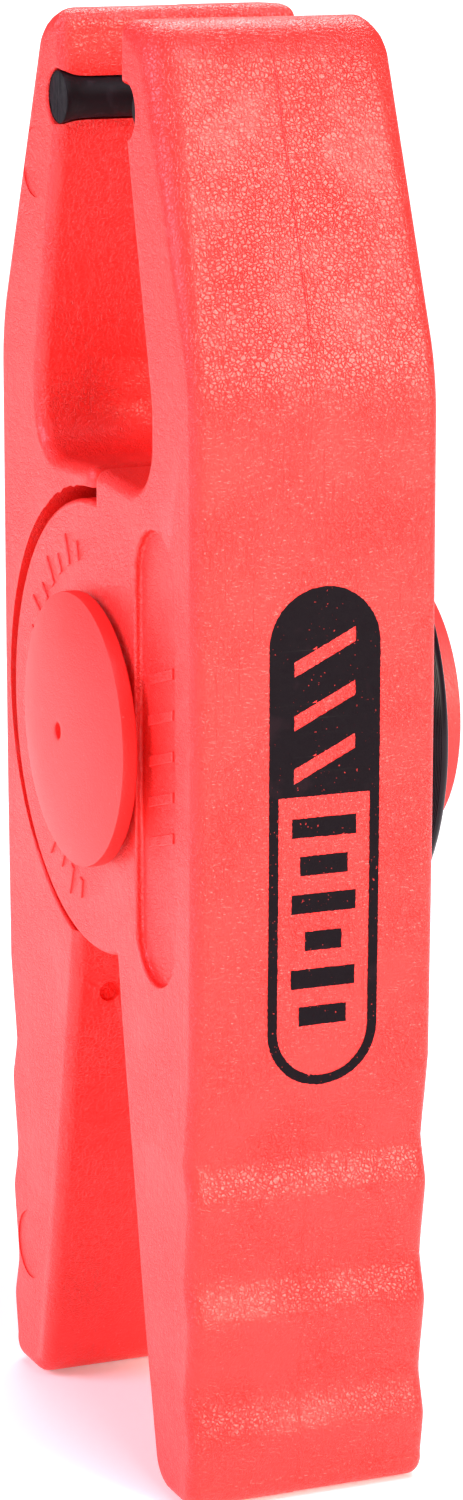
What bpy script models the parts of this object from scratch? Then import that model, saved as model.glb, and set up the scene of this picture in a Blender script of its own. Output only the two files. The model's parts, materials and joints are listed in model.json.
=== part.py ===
"""Spring clamp: two lapped plastic arms on one sprung pivot, with a rubber cord in each jaw.

Every mesh is drawn about the pivot axis (+X), with the front arm at -Y, then moved to PIVOT.
"""

import math

import bmesh
import bpy
from mathutils import Matrix, Vector

MM = 0.001

# Overall sizes, in millimetres from the pivot axis.
HALF_WIDTH = 13.2
TOP_Z = 73.0
FOOT_Z = -77.0
SIDE_FILLET = 1.3
FILLET_STEPS = 3

# Outer face of an arm: distance from the mid-plane.
OUTER_FOOT = 26.4
OUTER_MID = 27.5
KNEE_Z = 38.3
OUTER_TIP = 15.6
TIP_ROUND = 5.5
KNEE_ROUND = 24.0
FOOT_ROUND_OUT = 2.2
FOOT_ROUND_IN = 4.0

# Finger ridges on the outer face of the handle.
RIDGE_TOP_Z = -40.0
RIDGE_PITCH = 12.6
RIDGE_COUNT = 3
RIDGE_VALLEY = 25.6
RIDGE_DEPTH = 1.05
RIDGE_RISE = 0.36
RIDGE_STEPS = 10

# Inner face of an arm.
JAW_FACE = 7.9
JAW_LIP_Z = 67.2
JAW_BELOW_CORD = 9.3
MOUTH_WALL = 15.6
MOUTH_WALL_Z = 35.5
MOUTH_FLOOR_Z = 26.4
MOUTH_ROUND = 5.2
NOSE_Z = 27.3
NOSE_ROUND = 1.6
MEET_GAP = 0.15
HANDLE_IN_TOP = 5.4
HANDLE_IN_TOP_Z = -22.4
HANDLE_IN_MID = 6.4
HANDLE_IN_MID_Z = -28.5
HANDLE_IN_LOW = 12.8
HANDLE_IN_LOW_Z = -61.3
HANDLE_IN_FOOT = 16.4

# Lapped bosses and what they hold.
BOSS_R = 23.7
LAP_R = 24.1
LAP_RELIEF_R = 24.3
LAP_RELIEF_OUT = 0.55
LAP_RELIEF_UP = 0.75
LAP_GAP = 0.15
BOSS_EDGE = 0.5
CUP_R = 16.5
CUP_FLOOR_X = -9.4
PIN_HOLE_R = 6.2
BADGE_CENTRE = 17.0
BADGE_HALF_LENGTH = 23.3
BADGE_HALF_WIDTH = 5.3
BADGE_DEPTH = 0.8

# Jaw cords.
CORD_R = 2.7
CORD_SEAT_R = 2.98
CORD_OUT = 9.4
CORD_Z = 64.1
CORD_INSIDE_X = -11.4
CORD_FLUSH_X = 12.9

# Pivot pieces.
AXLE_R = 6.0
AXLE_BORE_R = 3.0
AXLE_LEFT_X = -13.6
AXLE_RIGHT_X = 16.6
SLEEVE_IN_R = 6.25
SLEEVE_OUT_R = 7.8
SLEEVE_HALF = 9.1
CAP_R = 14.3
LEFT_CAP_FOOT_X = 13.9
LEFT_CAP_RIM = 1.6
LEFT_CAP_HEIGHT = 3.3
RIGHT_CAP_FOOT_X = 16.9
RIGHT_CAP_RIM = 5.1
RIGHT_CAP_HEIGHT = 8.0
CAP_SPIGOT_R = 2.7
CAP_SPIGOT_LENGTH = 6.0
CAP_DIMPLE_R = 0.85
CAP_DIMPLE_DEPTH = 1.2
COLLAR_IN_X = 13.5
COLLAR_OUT_X = 16.6
COLLAR_R = 23.6
COLLAR_HOLE_R = 6.3
COLLAR_CHAMFER = 1.1

# Torsion spring.
WIRE_R = 1.2
COIL_R = 9.4
COIL_HALF = 7.3
COIL_TURNS = 5.5
COIL_STEPS = 16
LEG_FOOT_Z = -18.4
SLOT_HALF = 1.7
SLOT_FOOT_Z = -19.6
SLOT_TOP_Z = -8.0

# The record's origin is under the middle of the whole part, so the pivot sits up and to one side.
LEFT_REACH = LEFT_CAP_FOOT_X + LEFT_CAP_HEIGHT
RIGHT_REACH = RIGHT_CAP_FOOT_X + RIGHT_CAP_HEIGHT
PIVOT = Vector(((LEFT_REACH - RIGHT_REACH) / 2, 0.0, -FOOT_Z)) * MM

SMOOTH_ANGLE = math.radians(32)


def clear_scene():
    for obj in list(bpy.data.objects):
        bpy.data.objects.remove(obj, do_unlink=True)


def material(name, colour, roughness, metallic=0.0):
    made = bpy.data.materials.new(name)
    made.use_nodes = True
    shader = made.node_tree.nodes["Principled BSDF"]
    shader.inputs["Base Color"].default_value = (*colour, 1.0)
    shader.inputs["Roughness"].default_value = roughness
    shader.inputs["Metallic"].default_value = metallic
    return made


def add_object(name, bm, finish=None, helper=False):
    """A mesh object from bm, in millimetres about the pivot until settle() scales it."""
    bmesh.ops.recalc_face_normals(bm, faces=bm.faces)
    mesh = bpy.data.meshes.new(name)
    bm.to_mesh(mesh)
    bm.free()
    if finish:
        mesh.materials.append(finish)
    obj = bpy.data.objects.new(name, mesh)
    bpy.context.scene.collection.objects.link(obj)
    if helper:
        obj.hide_render = True
        obj.display_type = "WIRE"
    return obj


def settle(obj):
    """Scales the finished mesh to metres and shades its round faces smooth."""
    mesh = obj.data
    mesh.transform(Matrix.Scale(MM, 4))
    mesh.polygons.foreach_set("use_smooth", [True] * len(mesh.polygons))
    mesh.set_sharp_from_angle(angle=SMOOTH_ANGLE)


def place(obj, turned=False):
    obj.location = PIVOT
    if turned:
        obj.rotation_euler = (0.0, 0.0, math.pi)


def combine(obj, tool, operation):
    """Applies one exact Boolean and removes its tool."""
    modifier = obj.modifiers.new("shape", "BOOLEAN")
    modifier.operation = operation
    modifier.solver = "EXACT"
    modifier.object = tool
    graph = bpy.context.evaluated_depsgraph_get()
    shaped = bpy.data.meshes.new_from_object(obj.evaluated_get(graph))
    obj.modifiers.clear()
    old = obj.data
    obj.data = shaped
    bpy.data.meshes.remove(old)
    bpy.data.objects.remove(tool, do_unlink=True)


def corner(before, point, after, radius, steps):
    """Points of the arc that rounds one corner of an outline."""
    p = Vector(point)
    to_before = (Vector(before) - p).normalized()
    to_after = (Vector(after) - p).normalized()
    half = to_before.angle(to_after) / 2
    reach = radius / math.tan(half)
    centre = p + (to_before + to_after).normalized() * (radius / math.sin(half))
    start = p + to_before * reach - centre
    sweep = (p + to_after * reach - centre).angle_signed(start)
    made = []
    for i in range(steps + 1):
        angle = sweep * i / steps
        turned = Vector((
            start.x * math.cos(angle) - start.y * math.sin(angle),
            start.x * math.sin(angle) + start.y * math.cos(angle),
        ))
        made.append(tuple(centre + turned))
    return made


def outline(corners):
    """Points of a closed outline from (u, z, radius, steps) corners."""
    made = []
    for i, (u, z, radius, steps) in enumerate(corners):
        if radius:
            before = corners[i - 1][:2]
            after = corners[(i + 1) % len(corners)][:2]
            made.extend(corner(before, (u, z), after, radius, steps))
        else:
            made.append((u, z))
    return made


def ridge(z):
    """How far the ridged grip stands out of its valleys at height z."""
    phase = (RIDGE_TOP_Z - z) / RIDGE_PITCH
    phase -= math.floor(phase)
    if phase < RIDGE_RISE:
        return RIDGE_DEPTH * (0.5 - 0.5 * math.cos(math.pi * phase / RIDGE_RISE))
    fall = (phase - RIDGE_RISE) / (1 - RIDGE_RISE)
    return RIDGE_DEPTH * (0.5 + 0.5 * math.cos(math.pi * fall))


def arm_corners():
    """Side outline of an arm: u is the distance from the mid-plane. It runs up the outer face."""
    made = [(OUTER_FOOT, FOOT_Z, FOOT_ROUND_OUT, 4)]
    grip_foot = RIDGE_TOP_Z - RIDGE_COUNT * RIDGE_PITCH + 3.5
    steps = round((RIDGE_TOP_Z - grip_foot) / RIDGE_PITCH * RIDGE_STEPS)
    for i in range(steps + 1):
        z = grip_foot + (RIDGE_TOP_Z - grip_foot) * i / steps
        made.append((RIDGE_VALLEY + ridge(z), z, 0, 0))
    made += [
        (RIDGE_VALLEY + 0.35, RIDGE_TOP_Z + 2.2, 0, 0),
        (RIDGE_VALLEY + 0.85, RIDGE_TOP_Z + 4.6, 0, 0),
        (OUTER_MID - 0.45, RIDGE_TOP_Z + 9.0, 0, 0),
        (OUTER_MID - 0.1, -12.0, 0, 0),
        (OUTER_MID, 4.0, 0, 0),
        (OUTER_MID, KNEE_Z, KNEE_ROUND, 4),
        (OUTER_TIP, TOP_Z, TIP_ROUND, 6),
        (JAW_FACE, TOP_Z, 1.8, 3),
        (JAW_FACE, JAW_LIP_Z, 0, 0),
        (JAW_FACE + 0.9, CORD_Z, 0, 0),
        (JAW_BELOW_CORD, CORD_Z - CORD_SEAT_R - 0.4, 0, 0),
        (MOUTH_WALL, MOUTH_WALL_Z, 6.0, 3),
        (MOUTH_WALL, MOUTH_FLOOR_Z, MOUTH_ROUND, 7),
        (MEET_GAP, NOSE_Z, NOSE_ROUND, 4),
        (MEET_GAP, 12.0, 0, 0),
        (HANDLE_IN_TOP, HANDLE_IN_TOP_Z, 0, 0),
        (HANDLE_IN_MID, HANDLE_IN_MID_Z, 0, 0),
        (HANDLE_IN_LOW, HANDLE_IN_LOW_Z, 0, 0),
        (HANDLE_IN_FOOT, FOOT_Z, FOOT_ROUND_IN, 5),
    ]
    return made


def inset(points, distance):
    """The outline moved into its material by distance."""
    made = []
    count = len(points)
    for i, point in enumerate(points):
        here = Vector(point)
        along_in = (here - Vector(points[i - 1])).normalized()
        along_out = (Vector(points[(i + 1) % count]) - here).normalized()
        normal_in = Vector((-along_in.y, along_in.x))
        normal_out = Vector((-along_out.y, along_out.x))
        mean = (normal_in + normal_out).normalized()
        made.append(tuple(here + mean * (distance / max(mean.dot(normal_out), 0.5))))
    return made


def loft(sections):
    """A closed solid through outlines of equal length: each section is (x, [(u, z), ...])."""
    bm = bmesh.new()
    rings = [[bm.verts.new((x, -u, z)) for u, z in points] for x, points in sections]
    count = len(rings[0])
    for low, high in zip(rings, rings[1:]):
        for i in range(count):
            j = (i + 1) % count
            bm.faces.new((low[i], low[j], high[j], high[i]))
    bm.faces.new(rings[0])
    bm.faces.new(reversed(rings[-1]))
    return bm


def arm_body():
    points = outline(arm_corners())
    sections = []
    for i in range(FILLET_STEPS + 1):
        angle = math.pi / 2 * i / FILLET_STEPS
        x = -HALF_WIDTH + SIDE_FILLET * (1 - math.sin(angle))
        sections.append((x, inset(points, SIDE_FILLET * (1 - math.cos(math.pi / 2 - angle)))))
    mirrored = [(-x, ring) for x, ring in reversed(sections)]
    return loft(sections + mirrored)


def prism(points, x0, x1):
    return loft([(x0, points), (x1, points)])


def circle(centre_u, centre_z, radius, steps):
    return [
        (
            centre_u + radius * math.cos(2 * math.pi * i / steps),
            centre_z + radius * math.sin(2 * math.pi * i / steps),
        )
        for i in range(steps)
    ]


def turned_solid(profile, steps):
    """A solid turned about the X axis from (x, radius) points; a radius of 0 is a point on the axis."""
    bm = bmesh.new()
    rings = []
    for x, radius in profile:
        if radius == 0:
            rings.append([bm.verts.new((x, 0.0, 0.0))])
            continue
        rings.append([
            bm.verts.new((
                x,
                radius * math.cos(2 * math.pi * i / steps),
                radius * math.sin(2 * math.pi * i / steps),
            ))
            for i in range(steps)
        ])
    open_profile = len(rings[0]) == 1
    pairs = list(zip(rings, rings[1:]))
    if not open_profile:
        pairs.append((rings[-1], rings[0]))
    for low, high in pairs:
        for i in range(steps):
            j = (i + 1) % steps
            if len(low) == 1:
                bm.faces.new((low[0], high[j], high[i]))
            elif len(high) == 1:
                bm.faces.new((low[i], low[j], high[0]))
            else:
                bm.faces.new((low[i], low[j], high[j], high[i]))
    return bm


def stadium(centre_u, half_width, half_length, steps):
    """A slot outline with round ends, standing along Z."""
    straight = half_length - half_width
    made = []
    for end in (1, -1):
        for i in range(steps + 1):
            angle = math.pi * i / steps + (0 if end == 1 else math.pi)
            made.append((
                centre_u + half_width * math.cos(angle),
                end * straight + half_width * math.sin(angle),
            ))
    return made


def build_arm(name, finish):
    arm = add_object(name, arm_body(), finish)
    boss = [
        (-HALF_WIDTH, 0),
        (-HALF_WIDTH, BOSS_R - BOSS_EDGE),
        (-HALF_WIDTH + BOSS_EDGE * 0.3, BOSS_R - BOSS_EDGE * 0.3),
        (-HALF_WIDTH + BOSS_EDGE, BOSS_R),
        (-LAP_GAP, BOSS_R),
        (-LAP_GAP, 0),
    ]
    combine(arm, add_object("boss", turned_solid(boss, 72), helper=True), "UNION")
    past = HALF_WIDTH + 1.5
    cuts = {
        "lap": prism(circle(0, 0, LAP_R, 72), -LAP_GAP, past),
        "relief": prism(
            circle(LAP_RELIEF_OUT, LAP_RELIEF_UP, LAP_RELIEF_R, 72), -LAP_GAP + 0.02, past
        ),
        "cup": prism(circle(0, 0, CUP_R, 48), CUP_FLOOR_X, LAP_GAP + 0.35),
        "pin_hole": prism(circle(0, 0, PIN_HOLE_R, 36), -past, CUP_FLOOR_X + 1.0),
        "leg_slot": prism(
            [
                (COIL_R - SLOT_HALF, SLOT_FOOT_Z),
                (COIL_R + SLOT_HALF, SLOT_FOOT_Z),
                (COIL_R + SLOT_HALF, SLOT_TOP_Z),
                (COIL_R - SLOT_HALF, SLOT_TOP_Z),
            ],
            -COIL_HALF - SLOT_HALF,
            LAP_GAP + 0.4,
        ),
        "cord_seat": prism(circle(CORD_OUT, CORD_Z, CORD_SEAT_R, 28), -past, past),
        "badge": prism(
            stadium(BADGE_CENTRE, BADGE_HALF_WIDTH, BADGE_HALF_LENGTH, 12),
            -past,
            -HALF_WIDTH + BADGE_DEPTH,
        ),
    }
    for cut_name, bm in cuts.items():
        combine(arm, add_object(cut_name, bm, helper=True), "DIFFERENCE")
    settle(arm)
    return arm


def second_copy(source, name, finish):
    """The same moulding for the other arm, turned half round about Z."""
    mesh = source.data.copy()
    mesh.name = name
    mesh.materials.clear()
    mesh.materials.append(finish)
    obj = bpy.data.objects.new(name, mesh)
    bpy.context.scene.collection.objects.link(obj)
    return obj


def build_cord(name, finish):
    edge = 0.25
    profile = [
        (CORD_INSIDE_X, 0),
        (CORD_INSIDE_X, CORD_R - edge),
        (CORD_INSIDE_X + edge, CORD_R),
        (CORD_FLUSH_X - edge, CORD_R),
        (CORD_FLUSH_X, CORD_R - edge),
        (CORD_FLUSH_X, 0),
    ]
    bm = turned_solid(profile, 28)
    bmesh.ops.translate(bm, vec=(0.0, -CORD_OUT, CORD_Z), verts=bm.verts)
    cord = add_object(name, bm, finish)
    settle(cord)
    return cord


def build_cap(name, side, foot_x, rim, height, finish):
    """A domed cap on the -X (side -1) or +X (side 1) end of the axle, with its spigot in the bore."""
    profile = [
        (foot_x - CAP_SPIGOT_LENGTH, 0),
        (foot_x - CAP_SPIGOT_LENGTH, CAP_SPIGOT_R - 0.3),
        (foot_x - CAP_SPIGOT_LENGTH + 0.5, CAP_SPIGOT_R),
        (foot_x, CAP_SPIGOT_R),
        (foot_x, CAP_R - 0.3),
        (foot_x + 0.3, CAP_R),
        (foot_x + rim, CAP_R),
    ]
    edge_round = 0.9
    dome = height - rim
    steps = 8
    for i in range(1, steps + 1):
        share = i / (steps + 1)
        radius = (CAP_R - edge_round * 0.3) * (1 - share) + CAP_DIMPLE_R * share
        profile.append((foot_x + rim + dome * (1 - (radius / CAP_R) ** 2.4), radius))
    profile += [
        (foot_x + height, CAP_DIMPLE_R),
        (foot_x + height - CAP_DIMPLE_DEPTH, CAP_DIMPLE_R),
        (foot_x + height - CAP_DIMPLE_DEPTH, 0),
    ]
    cap = add_object(name, turned_solid([(side * x, r) for x, r in profile], 48), finish)
    settle(cap)
    return cap


def build_tube(name, x0, x1, r_in, r_out, edge, finish, steps):
    profile = [
        (x0, r_in),
        (x0, r_out - edge),
        (x0 + edge, r_out),
        (x1 - edge, r_out),
        (x1, r_out - edge),
        (x1, r_in),
    ]
    tube = add_object(name, turned_solid(profile, steps), finish)
    settle(tube)
    return tube


def spring_path():
    """Centre line of the wire: up one leg, round the coil, and down the other leg."""
    path = []
    for i in range(3):
        path.append(Vector((-COIL_HALF, -COIL_R, LEG_FOOT_Z * (1 - i / 3))))
    steps = round(COIL_TURNS * COIL_STEPS)
    for i in range(steps + 1):
        share = i / steps
        angle = math.pi - 2 * math.pi * COIL_TURNS * share
        path.append(Vector((
            COIL_HALF * (2 * share - 1),
            COIL_R * math.cos(angle),
            COIL_R * math.sin(angle),
        )))
    for i in range(1, 4):
        path.append(Vector((COIL_HALF, COIL_R, LEG_FOOT_Z * i / 3)))
    return path


def build_spring(name, finish):
    path = spring_path()
    bm = bmesh.new()
    sides = 8
    axis = Vector((1.0, 0.0, 0.0))
    rings = []
    for i, point in enumerate(path):
        along = (path[min(i + 1, len(path) - 1)] - path[max(i - 1, 0)]).normalized()
        across = (axis - along * axis.dot(along)).normalized()
        out = along.cross(across)
        rings.append([
            bm.verts.new(
                point
                + across * (WIRE_R * math.cos(2 * math.pi * k / sides))
                + out * (WIRE_R * math.sin(2 * math.pi * k / sides))
            )
            for k in range(sides)
        ])
    for low, high in zip(rings, rings[1:]):
        for k in range(sides):
            n = (k + 1) % sides
            bm.faces.new((low[k], low[n], high[n], high[k]))
    bm.faces.new(rings[0])
    bm.faces.new(reversed(rings[-1]))
    spring = add_object(name, bm, finish)
    settle(spring)
    return spring


def main():
    clear_scene()
    red = material("arm_plastic", (0.86, 0.07, 0.06), 0.5)
    cap_red = material("cap_plastic", (0.88, 0.08, 0.08), 0.42)
    black_rubber = material("cord_rubber", (0.02, 0.018, 0.02), 0.55)
    black_plastic = material("collar_plastic", (0.018, 0.018, 0.02), 0.4)
    natural = material("sleeve_plastic", (0.75, 0.73, 0.68), 0.5)
    steel = material("spring_steel", (0.55, 0.56, 0.58), 0.3, 1.0)
    axle_steel = material("axle_steel", (0.6, 0.61, 0.63), 0.28, 1.0)

    front_arm = build_arm("front_arm", red)
    rear_arm = second_copy(front_arm, "rear_arm", red)
    front_cord = build_cord("front_jaw_cord", black_rubber)
    rear_cord = second_copy(front_cord, "rear_jaw_cord", black_rubber)
    fixed = [
        front_arm,
        front_cord,
        build_cap(
            "left_cap", -1, LEFT_CAP_FOOT_X, LEFT_CAP_RIM, LEFT_CAP_HEIGHT, cap_red
        ),
        build_cap(
            "right_cap", 1, RIGHT_CAP_FOOT_X, RIGHT_CAP_RIM, RIGHT_CAP_HEIGHT, cap_red
        ),
        build_tube(
            "pivot_axle", AXLE_LEFT_X, AXLE_RIGHT_X, AXLE_BORE_R, AXLE_R, 0.4, axle_steel, 36
        ),
        build_tube(
            "spacer_sleeve", -SLEEVE_HALF, SLEEVE_HALF, SLEEVE_IN_R, SLEEVE_OUT_R, 0.3, natural, 36
        ),
        build_tube(
            "collar_ring", COLLAR_IN_X, COLLAR_OUT_X, COLLAR_HOLE_R, COLLAR_R, COLLAR_CHAMFER,
            black_plastic, 64
        ),
        build_spring("torsion_spring", steel),
    ]
    for obj in fixed:
        place(obj)
    for obj in (rear_arm, rear_cord):
        place(obj, turned=True)


main()
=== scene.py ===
"""Spring clamp: the detailed look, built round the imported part.

Every piece is drawn in millimetres about the pivot axis (+X), with the front arm at -Y, then scaled
to metres and moved to the pivot. u is the distance from the plane between the two arms.
"""

import json
import math

import bmesh
import bpy
from mathutils import Matrix, Vector, noise

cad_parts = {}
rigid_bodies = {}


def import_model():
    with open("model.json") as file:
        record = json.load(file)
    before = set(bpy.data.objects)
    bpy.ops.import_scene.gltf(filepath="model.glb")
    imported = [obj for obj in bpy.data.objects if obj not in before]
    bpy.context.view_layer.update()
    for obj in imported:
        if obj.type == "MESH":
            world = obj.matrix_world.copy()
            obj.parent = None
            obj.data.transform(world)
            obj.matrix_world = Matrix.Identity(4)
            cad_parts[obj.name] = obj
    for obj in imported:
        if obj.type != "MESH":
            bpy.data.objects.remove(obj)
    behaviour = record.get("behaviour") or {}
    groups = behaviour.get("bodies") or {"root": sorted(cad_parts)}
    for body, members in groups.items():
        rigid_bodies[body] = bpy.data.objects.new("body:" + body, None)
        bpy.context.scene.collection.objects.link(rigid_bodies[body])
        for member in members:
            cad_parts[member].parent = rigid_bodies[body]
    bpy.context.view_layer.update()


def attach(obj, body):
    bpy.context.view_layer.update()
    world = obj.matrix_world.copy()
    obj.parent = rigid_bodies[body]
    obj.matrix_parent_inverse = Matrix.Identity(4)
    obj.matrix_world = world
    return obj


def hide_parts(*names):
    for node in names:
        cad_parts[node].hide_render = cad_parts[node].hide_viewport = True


MM = 0.001

# Camera, in metres.
CAMERA_AT = Vector((-0.1830, -0.4328, 0.1787))
CAMERA_LOOK = Vector((0.3772, 0.8998, -0.2192))
CAMERA_LENS = 110.06

# Overall sizes, in millimetres from the pivot axis.
HALF_WIDTH = 13.2
TOP_Z = 73.0
FOOT_Z = -77.0
SIDE_FILLET = 1.45
TIP_FILLET = 3.3
TIP_FILLET_FROM_Z = 62.0
FILLET_STEPS = 7
PARTING_STEP = 0.045
FLASH_HALF = 0.16
FLASH_SLOPE = 0.13
FLASH_GRIP = 0.07
FLASH_MID = 0.0

# Outer face of an arm.
OUTER_FOOT = 26.4
OUTER_MID = 27.46
KNEE_Z = 38.3
OUTER_TIP = 15.6
TIP_ROUND = 5.5
KNEE_ROUND = 24.0
FOOT_ROUND_OUT = 2.2
FOOT_ROUND_IN = 4.0

# Finger ridges on the outer face of the handle.
RIDGE_TOP_Z = -40.0
RIDGE_PITCH = 12.6
RIDGE_COUNT = 3
RIDGE_VALLEY = 25.42
RIDGE_DEPTH = 1.28
RIDGE_RISE = 0.36
RIDGE_FLAT = 0.7
RIDGE_STEPS = 20

# Inner face of an arm.
JAW_FACE = 7.9
JAW_TOP_ROUND = 1.8
JAW_LIP_Z = 67.2
JAW_LIP_ROUND = 2.4
JAW_AT_CORD = JAW_FACE + 0.9
JAW_BELOW_CORD = 9.3
JAW_BELOW_CORD_Z = 60.75
MOUTH_WALL = 15.6
MOUTH_WALL_Z = 35.5
MOUTH_WALL_ROUND = 6.0
MOUTH_FLOOR_Z = 26.4
MOUTH_ROUND = 5.2
NOSE_Z = 27.3
NOSE_ROUND = 1.6
MEET_GAP = 0.15
MEET_FOOT_Z = 12.0
HANDLE_IN_TOP = 5.4
HANDLE_IN_TOP_Z = -22.4
HANDLE_IN_MID = 6.4
HANDLE_IN_MID_Z = -28.5
HANDLE_IN_LOW = 12.8
HANDLE_IN_LOW_Z = -61.3
HANDLE_IN_FOOT = 16.4

# Lapped bosses and what they hold.
BOSS_R = 23.7
LAP_R = 24.1
LAP_RELIEF_R = 24.3
LAP_RELIEF_OUT = 0.55
LAP_RELIEF_UP = 0.75
LAP_GAP = 0.15
BOSS_EDGE = 0.55
CUP_R = 16.5
CUP_FLOOR_X = -9.4
PIN_HOLE_R = 6.2
BADGE_CENTRE = 17.0
BADGE_HALF_LENGTH = 23.3
BADGE_HALF_WIDTH = 5.3
BADGE_DEPTH = 0.8
LIP = 0.28
CUT_PAST = 1.5

# Marks left by the mould.
EJECTOR_UPPER = (15.9, 56.9, 3.7)
EJECTOR_LOWER = (20.55, -62.6, 3.8)
EJECTOR_DEPTH = 0.14
GATE_X = 8.9
GATE_Z = -30.6
GATE_R = 1.15

# Plain raised bars in the recess, and raised ticks round the boss.
BAR_COUNT = 5
BAR_TOP_Z = 8.0
BAR_PITCH = 4.2
BAR_HALF_WIDTH = 3.2
BAR_SLANT = 0.9
BAR_THICK = 1.1
BAR_HEIGHT = 0.25
TICK_IN_R = 17.3
TICK_LONG_R = 20.6
TICK_SHORT_R = 19.4
TICK_HALF = 0.42
TICK_HEIGHT = 0.2
TICK_STEP_DEG = 9.0
TICK_SPANS = ((22.0, 80.0), (-78.0, -34.0))
RAISED_TAPER = 0.16

# Printed panel on the outer face, with slanted bars above and level bars below.
PRINT_X = 0.8
PRINT_Z = -7.0
PRINT_HALF_WIDTH = 6.0
PRINT_HALF_LENGTH = 25.6
PRINT_LINE = 1.05
PRINT_SPLIT_Z = -2.5
PRINT_LIFT = 0.02
PRINT_GRAIN = 0.25
PRINT_WANDER = 0.07
SLANT_COUNT = 3
SLANT_DROP = 6.6
SLANT_PITCH = 5.4
SLANT_REACH = 3.3
SLANT_RISE = 1.6
SLANT_THICK = 1.5
LEVEL_REACHES = (3.5, 2.6, 3.5, 2.0, 3.5, 2.6)
LEVEL_DROP = 3.2
LEVEL_PITCH = 3.9
LEVEL_THICK = 2.0

# Jaw cords.
CORD_R = 2.26
CORD_FLARE = 0.48
CORD_FLARE_LENGTH = 1.5
CORD_SEAT_R = 2.42
CORD_SEAT_FLARE = 0.5
CORD_OUT = 9.4
CORD_Z = 64.1
CORD_INSIDE_X = -11.45
CORD_FLUSH_X = 13.05

# Pivot pieces.
AXLE_R = 6.0
AXLE_BORE_R = 3.0
AXLE_LEFT_X = -13.6
AXLE_RIGHT_X = 16.6
SLEEVE_IN_R = 6.25
SLEEVE_OUT_R = 7.8
SLEEVE_HALF = 9.1
CAP_R = 14.3
LEFT_CAP_FOOT_X = 13.9
LEFT_CAP_RIM = 1.6
LEFT_CAP_HEIGHT = 3.3
RIGHT_CAP_FOOT_X = 16.9
RIGHT_CAP_RIM = 5.1
RIGHT_CAP_HEIGHT = 8.0
CAP_SPIGOT_R = 2.7
CAP_SPIGOT_LENGTH = 6.0
CAP_DIMPLE_R = 0.85
CAP_DIMPLE_DEPTH = 1.2
COLLAR_IN_X = 13.5
COLLAR_OUT_X = 16.6
COLLAR_R = 23.6
COLLAR_HOLE_R = 6.3
COLLAR_CHAMFER = 1.1
COLLAR_GROOVE = 0.05
COLLAR_GROOVES = 9

# Torsion spring.
WIRE_R = 1.2
COIL_R = 9.4
COIL_HALF = 7.3
COIL_TURNS = 5.5
COIL_STEPS = 40
LEG_FOOT_Z = -18.4
SLOT_HALF = 1.7
SLOT_FOOT_Z = -19.6
SLOT_TOP_Z = -8.0

# Colours and surface of the moulded red, and the creases in its grain, per metre and in metres.
ARM_RED = (0.97, 0.0245, 0.0195)
ARM_ROUGHNESS = 0.36
ARM_GRAIN = 0.21
CAP_RED = (0.97, 0.027, 0.023)
CAP_ROUGHNESS = 0.46
CAP_GRAIN = 0.06
UNDER_INK = (0.97, 0.06, 0.05)
CREASE_SCALE = 2300.0
CREASE_PULL = 0.0009

# Surroundings, in metres.
WORLD_STRENGTH = 0.16
FLOOR_GLOW = 0.2
FLOOR_REACH = 3.0
FLOOR_CELLS = 24
FLOOR_DROP = 0.0002
LIGHT_TARGET = (0.0, 0.0, 0.08)

PIVOT = Vector((
    (LEFT_CAP_FOOT_X + LEFT_CAP_HEIGHT - RIGHT_CAP_FOOT_X - RIGHT_CAP_HEIGHT) / 2, 0.0, -FOOT_Z
)) * MM

SMOOTH_ANGLE = math.radians(30)


# ---------------------------------------------------------------- meshes

def link(obj):
    bpy.context.scene.collection.objects.link(obj)
    return obj


def add_object(name, bm):
    bmesh.ops.recalc_face_normals(bm, faces=bm.faces)
    mesh = bpy.data.meshes.new(name)
    bm.to_mesh(mesh)
    bm.free()
    return link(bpy.data.objects.new(name, mesh))


def settle(obj, finish, turned=False):
    """Scales the finished mesh to metres, shades its rounds smooth, and puts it at the pivot."""
    mesh = obj.data
    mesh.transform(Matrix.Scale(MM, 4))
    mesh.polygons.foreach_set("use_smooth", [True] * len(mesh.polygons))
    mesh.set_sharp_from_angle(angle=SMOOTH_ANGLE)
    mesh.materials.clear()
    mesh.materials.append(finish)
    weigh = obj.modifiers.new("even_shading", "WEIGHTED_NORMAL")
    weigh.keep_sharp = True
    obj.location = PIVOT
    if turned:
        obj.rotation_euler = (0.0, 0.0, math.pi)
    return obj


def combine(obj, tool, operation):
    """Applies one exact Boolean and removes its tool."""
    modifier = obj.modifiers.new("shape", "BOOLEAN")
    modifier.operation = operation
    modifier.solver = "EXACT"
    modifier.object = tool
    graph = bpy.context.evaluated_depsgraph_get()
    shaped = bpy.data.meshes.new_from_object(obj.evaluated_get(graph))
    obj.modifiers.clear()
    old = obj.data
    obj.data = shaped
    bpy.data.meshes.remove(old)
    bpy.data.objects.remove(tool, do_unlink=True)


def corner(before, point, after, radius, steps):
    """Points of the arc that rounds one corner of an outline."""
    p = Vector(point)
    to_before = (Vector(before) - p).normalized()
    to_after = (Vector(after) - p).normalized()
    half = to_before.angle(to_after) / 2
    reach = radius / math.tan(half)
    centre = p + (to_before + to_after).normalized() * (radius / math.sin(half))
    start = p + to_before * reach - centre
    sweep = (p + to_after * reach - centre).angle_signed(start)
    made = []
    for i in range(steps + 1):
        angle = sweep * i / steps
        turned = Vector((
            start.x * math.cos(angle) - start.y * math.sin(angle),
            start.x * math.sin(angle) + start.y * math.cos(angle),
        ))
        made.append(tuple(centre + turned))
    return made


def outline(corners):
    """Points of a closed outline from (u, z, radius, steps) corners."""
    made = []
    for i, (u, z, radius, steps) in enumerate(corners):
        if radius:
            before = corners[i - 1][:2]
            after = corners[(i + 1) % len(corners)][:2]
            made.extend(corner(before, (u, z), after, radius, steps))
        else:
            made.append((u, z))
    return made


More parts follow.
